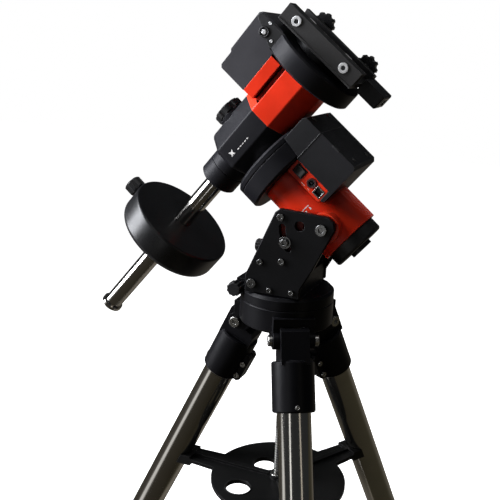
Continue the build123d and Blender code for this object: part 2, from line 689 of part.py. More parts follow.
# --- saddle ---------------------------------------------------------------------------
JAW_FACE = 17.5              # top edge of each jaw's slanted face, from the middle
JAW_BACK = 26.0
JAW_WALL = 4.3               # wall that the clamp screws run through
JAW_CLOSING = 4.0            # travel of the moving jaw towards the fixed one
FLOOR = SADDLE_TOP - 12.0
JAW_TOP = SADDLE_TOP - 3.0    # top of the moving jaw


def end_prism(points, x):
    """An outline of (y, z) points, extruded between the two values of x."""
    outline = Plane.YZ * make_face(Polyline(*points, close=True))
    return Pos(x[0], 0, 0) * extrude(outline, x[1] - x[0])


def saddle_plate():
    """A trough with a fixed slanted jaw to the west and a wall for the clamp knobs to the east."""
    side, wall = SADDLE_HALF_WIDTH, SADDLE_HALF_WIDTH - JAW_WALL
    section = [(-side - 0.9, SADDLE_BOTTOM), (side, SADDLE_BOTTOM), (side, SADDLE_TOP - 4.5),
               (wall, SADDLE_TOP - 4.5), (wall, FLOOR), (-DOVETAIL_HALF_WIDTH, FLOOR),
               (-JAW_FACE, SADDLE_TOP), (-side, SADDLE_TOP), (-side, SADDLE_BOTTOM + 1.6),
               (-side - 0.9, SADDLE_BOTTOM + 1.6)]
    body = end_prism(section, (SADDLE_NORTH, SADDLE_SOUTH))
    for x in SADDLE_BOLTS:
        body -= rod_y(3, -40, -10, x, SADDLE_BOLT_HEIGHT)
        body -= rod_y(3 + FIT, 20, 40, x, SADDLE_BOLT_HEIGHT)
    return body


def saddle_jaw():
    """The moving jaw, pushed by the two clamp knobs."""
    section = [(JAW_FACE + 1.2, JAW_TOP), (DOVETAIL_HALF_WIDTH, FLOOR + FIT), (JAW_BACK, FLOOR + FIT),
               (JAW_BACK, JAW_TOP)]
    body = end_prism(section, (SADDLE_NORTH, SADDLE_SOUTH))
    return chamfer(body.edges().filter_by(Axis.Z), 1)


def saddle_screws():
    """The fixed jaw's screws."""
    screws = []
    for x in SADDLE_BOLTS:
        screw = socket_screw(4.7, 1.4, 3, 11)
        screws.append(Pos(x, -SADDLE_HALF_WIDTH, SADDLE_BOLT_HEIGHT) * Rot(90, 0, 0) * screw)
    return Compound(screws)


def saddle_knob(x):
    """A clamp knob with its screw, which runs through the wall to the back of the jaw."""
    grip = Pos(0, 0, SADDLE_HALF_WIDTH + JAW_CLOSING + 3.7) * fluted(11.5, 8, 9)
    screw = rod_z(3, JAW_BACK + FIT, SADDLE_HALF_WIDTH + 11)
    return Pos(x, 0, SADDLE_BOLT_HEIGHT) * Rot(-90, 0, 0) * (grip + screw)


def saddle_port_box():
    body = block((SADDLE_SOUTH, 69), (0, 30), (103.8, 118.5))
    body = chamfer(body.faces().sort_by(Axis.X)[-1].edges(), 1)
    return body - block((64, 70), (10, 22), (107, 115))


# --- all parts ------------------------------------------------------------------------
def all_parts():
    parts = {
        "tripod_head": ON_SEAM * tripod_head(),
        "leg_hinge_bolts": ON_SEAM * leg_hinge_bolts(),
        "centre_rod": ON_SEAM * centre_rod(),
        "spreader_tray": ON_SEAM * spreader_tray(),
        "tray_knob": ON_SEAM * tray_knob(),
        "azimuth_base": ON_SEAM * azimuth_base(),
        "azimuth_knobs": ON_SEAM * azimuth_knobs(),
        "altitude_knob": ON_SEAM * altitude_knob(),
        "fork_plates": ON_SEAM * fork_plates(),
        "fork_screws": ON_SEAM * fork_screws(),
        "altitude_pivot_bolts": ON_SEAM * altitude_pivot_bolts(),
    }
    leg_pieces = {
        "leg_casting": leg_casting(),
        "leg_tube_upper": leg_tube_upper(),
        "leg_collar": leg_collar(),
        "leg_lock_knob": leg_lock_knob(),
        "leg_tube_lower": leg_tube_lower(),
    }
    for number, angle in enumerate(LEG_ANGLES, 1):
        for name, piece in leg_pieces.items():
            parts[f"{name}_{number}"] = leg_frame(angle) * piece
        parts[f"leg_foot_{number}"] = leg_foot(angle)
    head_pieces = {
        "ra_housing": ra_housing(),
        "altitude_lock_screws": altitude_lock_screws(),
        "ra_ring_housing": ra_ring_housing(),
        "ra_motor_cover": ra_motor_cover(),
        "ra_spindle": ra_spindle(),
        "ra_bearings": ra_bearings(),
        "ra_worm": worm_y(*RA_WORM),
        "ra_motor": stepper_motor(*RA_MOTOR),
        "ra_drive_belt": drive_belt(RA_WORM, RA_MOTOR),
        "ra_rear_cap": ra_rear_cap(),
        "power_switch": power_switch(),
        "port_jacks": port_jacks(),
        "dec_lower_housing": dec_lower_housing(),
        "dec_upper_housing": dec_upper_housing(),
        "dec_ring_housing": dec_ring_housing(),
        "dec_motor_cover": dec_motor_cover(),
        "dec_spindle": dec_spindle(),
        "dec_worm": worm_y(*DEC_WORM),
        "dec_motor": stepper_motor(*DEC_MOTOR),
        "dec_drive_belt": drive_belt(DEC_WORM, DEC_MOTOR),
        "front_polar_cap": front_polar_cap(),
        "counterweight_shaft": counterweight_shaft(),
        "shaft_end_cap": shaft_end_cap(),
        "counterweight": counterweight(),
        "counterweight_knob": counterweight_knob(),
        "saddle_plate": saddle_plate(),
        "saddle_jaw": saddle_jaw(),
        "saddle_screws": saddle_screws(),
        "saddle_knob_north": saddle_knob(SADDLE_BOLTS[0]),
        "saddle_knob_south": saddle_knob(SADDLE_BOLTS[1]),
        "saddle_port_box": saddle_port_box(),
    }
    for name, piece in head_pieces.items():
        parts[name] = HEAD * piece
    return parts


os.makedirs("parts", exist_ok=True)
for name, piece in all_parts().items():
    export_step(piece, f"parts/{name}.step")
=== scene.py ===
"""An equatorial mount on a steel tripod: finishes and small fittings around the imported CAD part."""
import json
import math

import bmesh
import bpy
from mathutils import Matrix, Vector


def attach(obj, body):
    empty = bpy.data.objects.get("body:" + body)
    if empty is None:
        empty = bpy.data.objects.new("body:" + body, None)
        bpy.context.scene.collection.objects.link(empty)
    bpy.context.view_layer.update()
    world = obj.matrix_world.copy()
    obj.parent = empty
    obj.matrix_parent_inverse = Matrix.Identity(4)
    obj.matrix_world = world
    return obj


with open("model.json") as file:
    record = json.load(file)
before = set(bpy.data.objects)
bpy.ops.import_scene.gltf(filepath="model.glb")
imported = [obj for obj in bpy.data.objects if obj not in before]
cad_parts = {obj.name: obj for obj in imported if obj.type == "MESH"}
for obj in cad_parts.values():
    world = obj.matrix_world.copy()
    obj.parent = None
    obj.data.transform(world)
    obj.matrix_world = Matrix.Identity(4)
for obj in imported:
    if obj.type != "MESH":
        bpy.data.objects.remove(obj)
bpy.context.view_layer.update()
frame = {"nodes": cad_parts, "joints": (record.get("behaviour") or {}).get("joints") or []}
MM = 0.001
SMOOTH_ANGLE = math.radians(28)
JOINTS = {joint["name"]: joint for joint in frame["joints"]}


# --- frames of the heads and the legs, in millimetres ------------------------------------
def local_frame(origin, x, z):
    """Places local millimetres in the row frame's metres."""
    x, z = Vector(x).normalized(), Vector(z).normalized()
    y = z.cross(x)
    turn = Matrix((x, y, z)).transposed().to_4x4()
    return Matrix.Translation(Vector(origin)) @ turn @ Matrix.Scale(MM, 4)


def head_frame():
    """Polar axis along X, declination axis along Z, origin where they cross."""
    polar = JOINTS["ra_turn"]
    south = -Vector(polar["axis"])
    return local_frame(polar["pos_m"], south, JOINTS["dec_turn"]["axis"])


HINGE = (6.0, 40.0)          # the fold hinge in a leg's own frame, outward and up


def leg_frame(number):
    """X outward from the leg, Z up along it."""
    up = -Vector(JOINTS[f"leg_extend_{number}"]["axis"])
    outward = Vector(JOINTS[f"leg_fold_{number}"]["axis"]).cross(up)
    origin = Vector(JOINTS[f"leg_fold_{number}"]["pos_m"])
    origin -= outward * HINGE[0] * MM + up * HINGE[1] * MM
    return local_frame(origin, outward, up)


HEAD = head_frame()
LEGS = {number: leg_frame(number) for number in (1, 2, 3)}
SEAM = local_frame(JOINTS["azimuth_turn"]["pos_m"], (1, 0, 0), (0, 0, 1))
ALONG = {"x": Matrix.Rotation(math.radians(90), 4, "Y"), "-x": Matrix.Rotation(math.radians(-90), 4, "Y"),
         "y": Matrix.Rotation(math.radians(-90), 4, "X"), "-y": Matrix.Rotation(math.radians(90), 4, "X"),
         "z": Matrix.Identity(4), "-z": Matrix.Rotation(math.radians(180), 4, "X")}


# --- materials ---------------------------------------------------------------------------
class Shader:
    """Builds one node material on a Principled shader."""

    def __init__(self, name):
        self.material = bpy.data.materials.new(name)
        self.material.use_nodes = True
        self.tree = self.material.node_tree
        self.surface = self.tree.nodes["Principled BSDF"]

    def node(self, kind, **inputs):
        made = self.tree.nodes.new(kind)
        for key, value in inputs.items():
            numbered = key[0] == "i" and key[1:].isdigit()
            socket = made.inputs[int(key[1:]) if numbered else key.replace("_", " ")]
            if isinstance(value, bpy.types.NodeSocket):
                self.tree.links.new(value, socket)
            else:
                socket.default_value = value
        return made

    def set(self, key, value):
        socket = self.surface.inputs[key]
        if isinstance(value, bpy.types.NodeSocket):
            self.tree.links.new(value, socket)
        else:
            socket.default_value = value

    def math(self, operation, a, b=0.0, clamp=False):
        made = self.node("ShaderNodeMath", i0=a, i1=b)
        made.operation = operation
        made.use_clamp = clamp
        return made.outputs[0]

    def spread(self, value, low, high, to_low=0.0, to_high=1.0):
        """value, taken from low..high to to_low..to_high."""
        made = self.node("ShaderNodeMapRange", i0=value, i1=low, i2=high, i3=to_low, i4=to_high)
        return made.outputs[0]

    def mix(self, share, a, b):
        """Colour a where share is 0 and b where it is 1."""
        made = self.tree.nodes.new("ShaderNodeMix")
        made.data_type = "RGBA"
        for socket, value in ((made.inputs[0], share), (made.inputs[6], a), (made.inputs[7], b)):
            if isinstance(value, bpy.types.NodeSocket):
                self.tree.links.new(value, socket)
            else:
                socket.default_value = value
        return made.outputs[2]

    def place(self, home=None, stretch=1.0):
        """Object coordinates, or coordinates along home's axes with its Z drawn out by stretch."""
        coordinates = self.node("ShaderNodeTexCoord").outputs["Object"]
        if home is None:
            return coordinates
        lengths = []
        for column, share in ((0, 1.0), (1, 1.0), (2, 1.0 / stretch)):
            axis = home.col[column].to_3d().normalized() * share
            made = self.node("ShaderNodeVectorMath", i0=coordinates, i1=tuple(axis))
            made.operation = "DOT_PRODUCT"
            lengths.append(made.outputs["Value"])
        return self.node("ShaderNodeCombineXYZ", i0=lengths[0], i1=lengths[1], i2=lengths[2]).outputs[0]

    def noise(self, scale, detail=3.0, where=None):
        where = where or self.place()
        return self.node("ShaderNodeTexNoise", Vector=where, Scale=scale, Detail=detail).outputs["Fac"]

    def bevel(self, radius):
        made = self.node("ShaderNodeBevel", Radius=radius * MM)
        made.samples = 6
        return made.outputs[0]

    def openness(self):
        """1 on open faces, 0 deep in a gap; it masks the painted shade in recesses."""
        made = self.node("ShaderNodeAmbientOcclusion", Distance=9.0 * MM)
        made.samples = 8
        return made.outputs["AO"]

    def edges(self, rounded):
        """1 on the part's edges, 0 on its faces."""
        facing = self.node("ShaderNodeNewGeometry").outputs["Normal"]
        made = self.node("ShaderNodeVectorMath", i0=rounded, i1=facing)
        made.operation = "DOT_PRODUCT"
        return self.spread(made.outputs["Value"], 0.999, 0.93)

    def bump(self, height, depth, normal):
        made = self.node("ShaderNodeBump", Strength=1.0, Distance=depth * MM, Height=height, Normal=normal)
        return made.outputs[0]


def rgb(red, green, blue):
    return (red, green, blue, 1.0)


def times(colour, factor):
    """A colour made darker or lighter, no channel above 1."""
    return rgb(*[min(c * factor, 1) for c in colour])


def coat(name, colour, worn, roughness, grain=1500.0, depth=0.012, metallic=0.0, edge=0.6, wear=0.5,
         shine=0.45, recess=1.0):
    """Paint, powder coat or moulded plastic: grained, a little uneven, rubbed lighter on its edges, and, when
    recess is below 1, darkened by painted shade in its gaps and recesses.
    """
    s = Shader(name)
    rounded = s.bevel(edge)
    cloud = s.noise(28.0, 4.0)
    fine = s.noise(grain, 2.0)
    rub = s.noise(160.0, 4.0)
    uneven = s.mix(s.spread(cloud, 0.35, 0.7), times(colour, 0.86), times(colour, 1.12))
    share = s.math("MULTIPLY", s.edges(rounded), s.spread(rub, 0.36, 0.66, 0.15, wear))
    colour_out = s.mix(share, uneven, rgb(*worn))
    # Painted shade: gaps and recesses are darkened towards the colour times recess, found by ambient
    # occlusion.
    if recess < 1.0:
        colour_out = s.mix(s.spread(s.openness(), 0.25, 0.75), times(colour, recess), colour_out)
    s.set("Base Color", colour_out)
    rough = s.spread(fine, 0.3, 0.7, roughness - 0.06, roughness + 0.07)
    s.set("Roughness", s.math("ADD", rough, s.spread(cloud, 0.3, 0.7, -0.04, 0.05), True))
    s.set("Metallic", metallic)
    s.set("Specular IOR Level", shine)
    s.set("Normal", s.bump(fine, depth, rounded))
    return s.material


def speckled(name, colour, fleck, roughness):
    """Anodised casting with fine light flecks."""
    s = Shader(name)
    rounded = s.bevel(0.5)
    cells = s.node("ShaderNodeTexVoronoi", Vector=s.place(), Scale=900.0).outputs["Distance"]
    flecks = s.spread(cells, 0.22, 0.12, 0.0, 0.55)
    fine = s.noise(1300.0, 3.0)
    flecked = s.mix(flecks, rgb(*colour), rgb(*fleck))
    share = s.math("MULTIPLY", s.edges(rounded), s.spread(fine, 0.3, 0.7, 0.25, 0.8))
    s.set("Base Color", s.mix(share, flecked, times(fleck, 2.2)))
    s.set("Roughness", s.spread(fine, 0.3, 0.7, roughness - 0.08, roughness + 0.08))
    s.set("Metallic", 0.35)
    s.set("Normal", s.bump(fine, 0.014, rounded))
    return s.material


def metal(name, colour, roughness, home=None, stretch=60.0, grain=2200.0, depth=0.0004, edge=0.4, dirt=0.2):
    """Bare metal: a grain drawn along home's Z, faint smears, and bright rubbed edges."""
    s = Shader(name)
    rounded = s.bevel(edge)
    lines = s.noise(grain, 3.0, s.place(home, stretch) if home else None)
    smear = s.noise(38.0, 5.0)
    tone = s.mix(s.spread(smear, 0.42, 0.72, 0.0, dirt), rgb(*colour), times(colour, 0.55))
    tone = s.mix(s.spread(lines, 0.35, 0.65, 0.0, 0.08), tone, times(colour, 1.2))
    s.set("Base Color", s.mix(s.edges(rounded), tone, times(colour, 1.4)))
    s.set("Metallic", 1.0)
    drawn = s.spread(lines, 0.3, 0.7, roughness * 0.93, roughness * 1.08)
    s.set("Roughness", s.math("ADD", drawn, s.spread(smear, 0.4, 0.75, 0.0, 0.04), True))
    if home is None:
        s.set("Normal", s.bump(lines, depth, rounded))
    return s.material


def threaded(name, colour, home, pitch):
    """Steel rod with a thread cut along home's Z."""
    s = Shader(name)
    wave = s.node("ShaderNodeTexWave", Vector=s.place(home), Scale=1.0 / (pitch * MM) / 20 * math.pi)
    wave.bands_direction = "Z"
    turns = wave.outputs["Fac"]
    oil = s.noise(220.0, 3.0)
    # Painted shade: the colour is darker in the thread's grooves than on its crests; the oil noise darkens it
    # further at random.
    s.set("Base Color", s.mix(s.math("MULTIPLY", turns, s.spread(oil, 0.3, 0.7, 0.5, 1.0)),
                              times(colour, 0.3), rgb(*colour)))
    s.set("Metallic", 1.0)
    s.set("Roughness", s.spread(oil, 0.3, 0.7, 0.24, 0.4))
    s.set("Normal", s.bump(turns, 0.5, s.bevel(0.3)))
    return s.material


def print_ink(name, colour):
    """Thin printed ink, a little thin in places."""
    s = Shader(name)
    worn = s.noise(900.0, 4.0)
    s.set("Base Color", s.mix(s.spread(worn, 0.55, 0.8), rgb(*colour), times(colour, 0.6)))
    s.set("Roughness", s.spread(worn, 0.3, 0.7, 0.4, 0.6))
    s.set("Normal", s.bump(worn, 0.004, s.bevel(0.1)))
    return s.material


GREY_EDGE = (0.16, 0.16, 0.175)
DARK_EDGE = (0.09, 0.09, 0.1)
STEEL = (0.62, 0.6, 0.57)
MATERIALS = {
    "coat_head": coat("coat_head", (0.010, 0.010, 0.0125), GREY_EDGE, 0.44, shine=0.14),
    "coat_base": coat("coat_base", (0.004, 0.004, 0.005), DARK_EDGE, 0.38, shine=0.13),
    "coat_plate": coat("coat_plate", (0.003, 0.003, 0.0035), DARK_EDGE, 0.4, depth=0.006, shine=0.15),
    "coat_weight": coat("coat_weight", (0.005, 0.005, 0.006), DARK_EDGE, 0.34, grain=2200.0, depth=0.004,
                        shine=0.5),
    "coat_tray": coat("coat_tray", (0.004, 0.004, 0.004), (0.05, 0.05, 0.05), 0.45, grain=900.0, depth=0.01,
                      shine=0.2),
    # The red coat carries painted shade that darkens its slots and gaps.
    "coat_red": coat("coat_red", (0.86, 0.036, 0.009), (0.95, 0.16, 0.07), 0.36, grain=1800.0, depth=0.006,
                     edge=0.9, wear=0.7, shine=0.15, recess=0.12),
    "cover_light": coat("cover_light", (0.036, 0.035, 0.041), (0.13, 0.13, 0.14), 0.5, grain=1100.0,
                        shine=0.3),
    "cover_dark": coat("cover_dark", (0.008, 0.008, 0.0095), (0.11, 0.11, 0.12), 0.48, grain=1100.0,
                       shine=0.25),
    "inset_dark": coat("inset_dark", (0.008, 0.008, 0.009), DARK_EDGE, 0.42, grain=1400.0),
    "knob": coat("knob", (0.010, 0.010, 0.011), (0.12, 0.12, 0.12), 0.3, grain=2400.0, depth=0.008, edge=0.8),
    "saddle": speckled("saddle", (0.028, 0.027, 0.027), (0.1, 0.1, 0.1), 0.45),
    "steel_shaft": metal("steel_shaft", STEEL, 0.1, HEAD),
    "screw_bright": metal("screw_bright", (0.8, 0.8, 0.8), 0.42, grain=1600.0, dirt=0.1),
    "screw_dark": metal("screw_dark", (0.2, 0.2, 0.2), 0.24, grain=1600.0),
    "screw_plain": metal("screw_plain", (0.5, 0.49, 0.47), 0.24, grain=1600.0),
    "aluminium": metal("aluminium", (0.62, 0.62, 0.64), 0.3, HEAD),
    "brass": metal("brass", (0.62, 0.42, 0.16), 0.26, HEAD),
    "motor_case": coat("motor_case", (0.03, 0.03, 0.032), (0.3, 0.3, 0.3), 0.35, metallic=0.6),
    "rubber": coat("rubber", (0.012, 0.012, 0.012), (0.04, 0.04, 0.04), 0.75, grain=700.0, depth=0.04,
                   wear=0.3),
    "thread": threaded("thread", (0.45, 0.44, 0.42), SEAM, 1.5),
    "ink": print_ink("ink", (0.85, 0.84, 0.82)),
    "switch_black": coat("switch_black", (0.022, 0.021, 0.02), (0.3, 0.3, 0.28), 0.2, depth=0.004),
    # Dark red for the ring round the jack: painted shade of a hole in the red housing.
    "jack_red_shade": coat("jack_red_shade", (0.06, 0.005, 0.004), (0.4, 0.05, 0.03), 0.4),
    "gold": metal("gold", (0.8, 0.6, 0.25), 0.25, grain=1600.0),
}
for number, home in LEGS.items():
    MATERIALS[f"steel_leg_{number}"] = metal(f"steel_leg_{number}", (0.55, 0.53, 0.49), 0.12, home)

FINISH = {
    "dec_lower_housing": "coat_head", "dec_ring_housing": "coat_head", "ra_ring_housing": "coat_head",
    "dec_upper_housing": "coat_red", "ra_housing": "coat_red",
    "dec_motor_cover": "cover_light", "ra_motor_cover": "cover_dark", "ra_rear_cap": "inset_dark",
    "azimuth_base": "coat_base", "tripod_head": "coat_base", "fork_plates": "coat_plate",
    "spreader_tray": "coat_tray", "counterweight": "coat_weight",
    "saddle_plate": "saddle", "saddle_jaw": "saddle", "saddle_port_box": "cover_dark",
    "counterweight_shaft": "steel_shaft", "shaft_end_cap": "steel_shaft", "centre_rod": "thread",
    "saddle_screws": "screw_bright", "fork_screws": "screw_dark", "altitude_pivot_bolts": "screw_dark",
    "altitude_lock_screws": "screw_dark", "leg_hinge_bolts": "screw_plain", "ra_bearings": "screw_plain",
    "ra_spindle": "aluminium", "dec_spindle": "coat_plate", "ra_worm": "brass", "dec_worm": "brass",
    "ra_motor": "motor_case", "dec_motor": "motor_case",
    "ra_drive_belt": "rubber", "dec_drive_belt": "rubber",
    "power_switch": "switch_black", "port_jacks": "inset_dark",
}


def finish_of(node):
    if node in FINISH:
        return FINISH[node]
    if "tube" in node:
        return f"steel_leg_{node[-1]}"
    if "casting" in node or "collar" in node:
        return "coat_base"
    return "rubber" if "foot" in node else "knob"


def dress(node, part):
    """A material in every slot of a CAD node, and shading that is smooth between its sharp edges."""
    material = MATERIALS[finish_of(node)]
    part.data.materials.clear()
    part.data.materials.append(material)
    weld = part.modifiers.new("weld", "WELD")
    weld.merge_threshold = 0.002 * MM
    split = part.modifiers.new("edges", "EDGE_SPLIT")
    split.split_angle = SMOOTH_ANGLE
    part.data.shade_smooth()


for node, part in frame["nodes"].items():
    dress(node, part)


# --- building small fittings, in millimetres ---------------------------------------------
def add(name, body, material, mesh, home):
    """Turns a bmesh in home's millimetres into a piece that rides on body."""
    bmesh.ops.recalc_face_normals(mesh, faces=mesh.faces)
    data = bpy.data.meshes.new(name)
    mesh.to_mesh(data)
    mesh.free()
    data.transform(home)
    data.materials.append(MATERIALS[material])
    data.shade_smooth()
    data.set_sharp_from_angle(angle=SMOOTH_ANGLE)
    piece = bpy.data.objects.new(name, data)
    bpy.context.scene.collection.objects.link(piece)
    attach(piece, body)
    return piece


SIDES = 36


def loop(radius, height, corners=0):
    """A circle of points at a height, or a polygon of that many corners sampled the same way."""
    points = []
    for n in range(SIDES):
        angle = 2 * math.pi * n / SIDES
        reach = radius
        if corners:
            share = 2 * math.pi / corners
            reach *= math.cos(share / 2) / math.cos(angle % share - share / 2)
        points.append(Vector((reach * math.cos(angle), reach * math.sin(angle), height)))
    return points


def loft(mesh, home, loops, closed=False):
    """Skins loops of points into mesh: capped at both ends, or joined end to end when closed."""
    rows = [[mesh.verts.new(home @ p) for p in points] for points in loops]
    pairs = list(zip(rows, rows[1:])) + ([(rows[-1], rows[0])] if closed else [])
    for low, high in pairs:
        for n in range(len(low)):
            m = (n + 1) % len(low)
            mesh.faces.new((low[n], low[m], high[m], high[n]))
    if not closed:
        mesh.faces.new(rows[0])
        mesh.faces.new(rows[-1])


def screw_head(mesh, home, radius, height, corners=6, drive=0.52):
    """A socket head standing on home's XY plane, with its recess."""
    rim, floor = height * 0.15, height * 0.45
    loft(mesh, home, [loop(radius, -0.4), loop(radius, height - rim), loop(radius - rim, height),
                      loop(radius * drive, height, corners), loop(radius * drive, floor, corners)])


def nut(mesh, home, radius, height):
    loft(mesh, home, [loop(radius, -0.4, 6), loop(radius, height * 0.8, 6), loop(radius * 0.85, height),
                      loop(radius * 0.4, height), loop(radius * 0.4, height * 0.5)])


def band(mesh, home, outer, inner, low, high, round_off=0.15):
    """A ring about home's Z."""
    r = round_off
    loft(mesh, home, [loop(inner, low), loop(outer - r, low), loop(outer, low + r), loop(outer, high - r),
                      loop(outer - r, high), loop(inner, high)], closed=True)


def plate(mesh, home, outline, low, high, bevel=0.15):
    """An outline of (x, y) points raised from low to high along home's Z, with its top edges rounded off."""
    corners = [Vector((x, y, low)) for x, y in outline]
    bottom = [mesh.verts.new(home @ p) for p in corners]
    top = [mesh.verts.new(home @ (p + Vector((0, 0, high - low)))) for p in corners]
    count = len(corners)
    mesh.faces.new(bottom)
    lid = mesh.faces.new(top)
    for n in range(count):
        m = (n + 1) % count
        mesh.faces.new((bottom[n], bottom[m], top[m], top[n]))
    if bevel:
        bmesh.ops.bevel(mesh, geom=list(lid.edges), offset=bevel, segments=2, affect="EDGES")


def oblong(x, y):
    return [(x[0], y[0]), (x[1], y[0]), (x[1], y[1]), (x[0], y[1])]


def rectangle(half, height):
    """Four corners at a height, from the half width and half depth."""
    return [Vector((a * half[0], b * half[1], height)) for a, b in ((-1, -1), (1, -1), (1, 1), (-1, 1))]


def local(place, direction):
    """The frame at place in its own part, with its Z along direction."""
    return Matrix.Translation(Vector(place)) @ ALONG[direction]


# --- tripod ------------------------------------------------------------------------------
COLLAR_RIBS = (-392, -398, -404)
FOOT_RIBS = (-676, -669, -662)


def dress_leg(number, home):
    """Grub screw, pinch screws, and the ribs of the collar and the foot."""
    body, lower = f"leg_{number}", f"leg_lower_{number}"
    mesh = bmesh.new()
    screw_head(mesh, local((21.3, 0, -25), "x"), 2.3, 1.1)
    add(f"leg_grub_screw_{number}", body, "screw_plain", mesh, home)
    mesh = bmesh.new()
    for height in (-21.5, -5.5):
        screw_head(mesh, local((-21.5, -8.7, height), "-y"), 3.1, 3.0)
        nut(mesh, local((-21.5, 8.7, height), "y"), 3.4, 2.6)
    add(f"leg_pinch_screws_{number}", body, "screw_plain", mesh, home)
    mesh = bmesh.new()
    for height in COLLAR_RIBS:
        band(mesh, local((0, 0, height), "z"), 21.7, 20.4, 0, 2.4, 0.6)
    add(f"leg_collar_ribs_{number}", body, "knob", mesh, home)
    mesh = bmesh.new()
    for height in FOOT_RIBS:
        band(mesh, local((0, 0, height), "z"), 19.9, 18.4, 0, 3.4, 0.9)
    add(f"leg_foot_ribs_{number}", lower, "rubber", mesh, home)


for number, home in LEGS.items():
    dress_leg(number, home)


def dress_tray():
    """A raised lip round each eyepiece hole and a washer under the hub."""
    mesh = bmesh.new()
    for x, y in ((-31, -39), (-22, 17)):
        band(mesh, local((x, y, -213.6), "z"), 14.9, 13.6, 0, 0.9, 0.3)
    add("tray_hole_lips", "spreader_tray", "coat_tray", mesh, SEAM)
    mesh = bmesh.new()
    band(mesh, local((0, 0, -209.5), "z"), 8.4, 5.3, 0, 1.4, 0.3)
    add("tray_washer", "spreader_tray", "screw_plain", mesh, SEAM)


dress_tray()

# --- polar head --------------------------------------------------------------------------
COVER_SIDE = 36.0            # half width of the polar motor cover
PANEL = 34.0                 # half width of the red case with the sockets
SOCKET_X = 89.5              # the square data socket, along the polar axis


def dress_polar_head():
    """The seam round the motor cover, its screws and its clip."""
    mesh = bmesh.new()
    for side in (-1, 1):
        turn = local((53.4, side * (COVER_SIDE + 0.12), 0), "-y")
        plate(mesh, turn, oblong((-0.35, 0.35), (29.2, 62.6)), -0.3, 0.3, 0)
    plate(mesh, local((53.4, 0, 63), "z"), oblong((-0.35, 0.35), (-36, 36)), -0.2, 0.12, 0)
    add("ra_cover_seam", "polar_housing", "inset_dark", mesh, HEAD)
    mesh = bmesh.new()
    for y in (-22.0, 22.0):
        for x in (37.5, 91.0):
            screw_head(mesh, local((x, y, 62.8), "z"), 2.4, 0.9)
    add("ra_cover_screws", "polar_housing", "screw_dark", mesh, HEAD)
    mesh = bmesh.new()
    plate(mesh, local((74.6, -36.05, 62.2), "z"), oblong((-4.4, 3.0), (-0.35, 2.4)), -0.6, 1.1, 0.3)
    add("ra_cover_clip", "polar_housing", "inset_dark", mesh, HEAD)


dress_polar_head()


BEZEL_ROUND = 0.15           # outer edge of a bezel, rounded off


def window_frame(mesh, x, z, inner, outer, low, high):
    """A rectangular bezel on the case's west face: x and z of its middle, half sizes inside and outside."""
    shoulder = (outer[0] - BEZEL_ROUND, outer[1] - BEZEL_ROUND)
    steps = ((inner, low), (outer, low), (outer, high - BEZEL_ROUND), (shoulder, high), (inner, high))
    rings = [rectangle(half, height) for half, height in steps]
    loft(mesh, local((x, 0, z), "-y"), rings, closed=True)


def dress_sockets():
    """Bezels, pins and a ring round the switch and the two sockets."""
    mesh = bmesh.new()
    window_frame(mesh, 62.9, 22.0, (5.6, 4.5), (6.1, 5.0), PANEL - 0.4, PANEL + 0.4)
    add("switch_bezel", "polar_housing", "inset_dark", mesh, HEAD)
    mesh = bmesh.new()
    window_frame(mesh, SOCKET_X, 20.5, (3.8, 3.8), (4.4, 4.4), PANEL + 0.2, PANEL + 0.6)
    add("socket_shield", "polar_housing", "screw_plain", mesh, HEAD)
    mesh = bmesh.new()
    for n in range(6):
        x = SOCKET_X - 2.25 + 0.9 * n
        plate(mesh, local((x, -31.2, 23.0), "z"), oblong((-0.2, 0.2), (-2.2, 0.4)), 0, 0.35, 0.05)
    add("socket_pins", "polar_housing", "gold", mesh, HEAD)
    mesh = bmesh.new()
    # A dark red ring round the jack's hole: painted shade of the hole's red walls.
    band(mesh, local((79.0, -34.2, 22), "-y"), 5.0, 3.7, 0, 0.7, 0.2)
    add("jack_ring_shade", "polar_housing", "jack_red_shade", mesh, HEAD)


dress_sockets()


TUBE = 31.2                  # radius of the red tube under the index
INDEX_STEPS = 5              # flats in each curved mark


def polar_ink():
    """The latitude index on the red housing and plain dashes beside the sockets."""
    mesh = bmesh.new()
    for x, z, length, width in ((72.2, 15.4, 2.4, 0.5), (75.0, 15.2, 1.6, 0.5), (80.5, 15.4, 2.6, 0.5)):
        dash = oblong((-length / 2, length / 2), (-width / 2, width / 2))
        plate(mesh, local((x, 0, z), "-y"), dash, PANEL - 0.1, PANEL + 0.05, 0)
    add("socket_marks", "polar_housing", "ink", mesh, HEAD)
    mesh = bmesh.new()
    sunk, proud = TUBE - 0.1, TUBE + 0.07
    for angle_low, angle_high, x_low, x_high in ((-12.5, 6.5, 90.2, 91.0), (-6.5, -4.0, 92.6, 95.2),
                                                 (3.2, 5.7, 92.6, 95.2)):
        corners = ((x_low, sunk), (x_high, sunk), (x_high, proud), (x_low, proud))
        rows = []
        for n in range(INDEX_STEPS + 1):
            # about the polar axis from west, positive towards the top
            angle = math.radians(180 + angle_low + (angle_high - angle_low) * n / INDEX_STEPS)
            rows.append([Vector((x, math.cos(angle) * r, -math.sin(angle) * r)) for x, r in corners])
        loft(mesh, ALONG["z"], rows)
    add("latitude_index", "polar_housing", "ink", mesh, HEAD)


polar_ink()

# --- declination head --------------------------------------------------------------------
DEC_COVER_SIDE = 33.0


